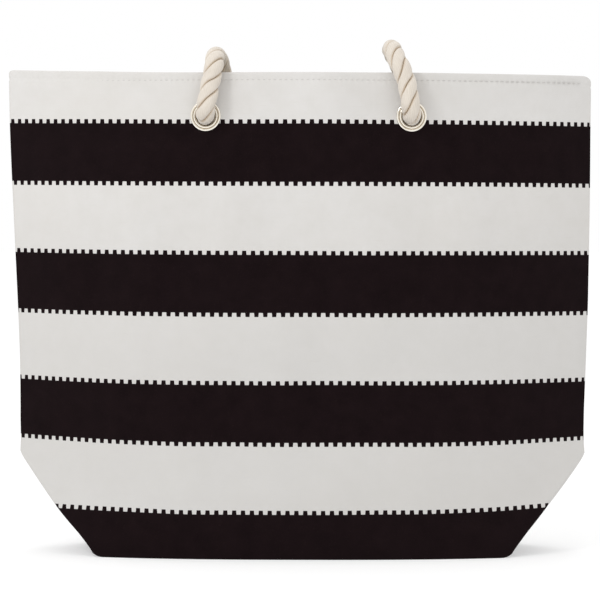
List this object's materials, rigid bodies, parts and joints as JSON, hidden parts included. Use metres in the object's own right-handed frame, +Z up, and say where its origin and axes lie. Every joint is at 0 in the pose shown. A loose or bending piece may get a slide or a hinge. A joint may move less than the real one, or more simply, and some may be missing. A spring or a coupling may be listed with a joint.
{
  "type": "beach bag",
  "caption": "Upright striped canvas beach bag with folded lower corners, metal eyelets and twisted rope handles that lift and swing.",
  "frame": {"origin": "middle of the base, on the surface that the bag stands on", "axes": "+Z up to the mouth, +X to the right and +Y to the back as seen from the front, where the rope crosses the rim"},
  "size_m": [0.468, 0.1771, 0.4059],
  "materials": {
    "striped_canvas": "close plain weave, off-white printed with warm black bands",
    "cotton_lining": "natural plain-weave cotton",
    "cotton_tape": "woven tape",
    "sewing_thread": "spun polyester thread, pale grey",
    "stiffener_board": "matt sheet",
    "champagne_metal": "pale champagne plating, polished",
    "twisted_cotton_rope": "cream three-strand cotton, slightly fuzzy"
  },
  "bodies": {
    "bag": {"front_panel": "striped_canvas", "back_panel": "striped_canvas", "base_panel": "striped_canvas", "base_board": "stiffener_board", "lining_front": "cotton_lining", "lining_back": "cotton_lining", "lining_base": "cotton_lining", "mouth_tape_front": "cotton_tape", "mouth_tape_back": "cotton_tape", "side_seam_binding_left": "cotton_tape", "side_seam_binding_right": "cotton_tape", "hem_stitching_front": "sewing_thread", "hem_stitching_back": "sewing_thread", "eyelet_front_left": "champagne_metal", "eyelet_front_right": "champagne_metal", "eyelet_back_left": "champagne_metal", "eyelet_back_right": "champagne_metal", "washer_front_left": "champagne_metal", "washer_front_right": "champagne_metal", "washer_back_left": "champagne_metal", "washer_back_right": "champagne_metal", "knot_front_left": "twisted_cotton_rope", "knot_front_right": "twisted_cotton_rope", "knot_back_left": "twisted_cotton_rope", "knot_back_right": "twisted_cotton_rope", "front_handle_leg_left": "twisted_cotton_rope", "front_handle_leg_right": "twisted_cotton_rope", "back_handle_stub_left": "twisted_cotton_rope", "back_handle_stub_right": "twisted_cotton_rope"},
    "front_handle_crest": {"front_handle_crest_left": "twisted_cotton_rope", "front_handle_crest_right": "twisted_cotton_rope"},
    "front_handle_loop": {"front_handle_loop": "twisted_cotton_rope"},
    "back_handle": {"back_handle_loop": "twisted_cotton_rope"}
  },
  "joints": [
    {"name": "front_handle_fold", "type": "hinge", "parent": "bag", "child": "front_handle_crest", "pos_m": [0, -0.064, 0.392], "axis": [1, 0, 0], "range_deg": [0, 90]},
    {"name": "front_handle_lift", "type": "hinge", "parent": "front_handle_crest", "child": "front_handle_loop", "pos_m": [0, -0.02, 0.392], "axis": [1, 0, 0], "range_deg": [0, 90]},
    {"name": "back_handle_swing", "type": "hinge", "parent": "bag", "child": "back_handle", "pos_m": [0, 0.084, 0.3345], "axis": [1, 0, 0], "range_deg": [0, 175]}
  ],
  "couplings": [
    {"joint": "front_handle_lift", "follows": "front_handle_fold", "ratio": 1}
  ]
}
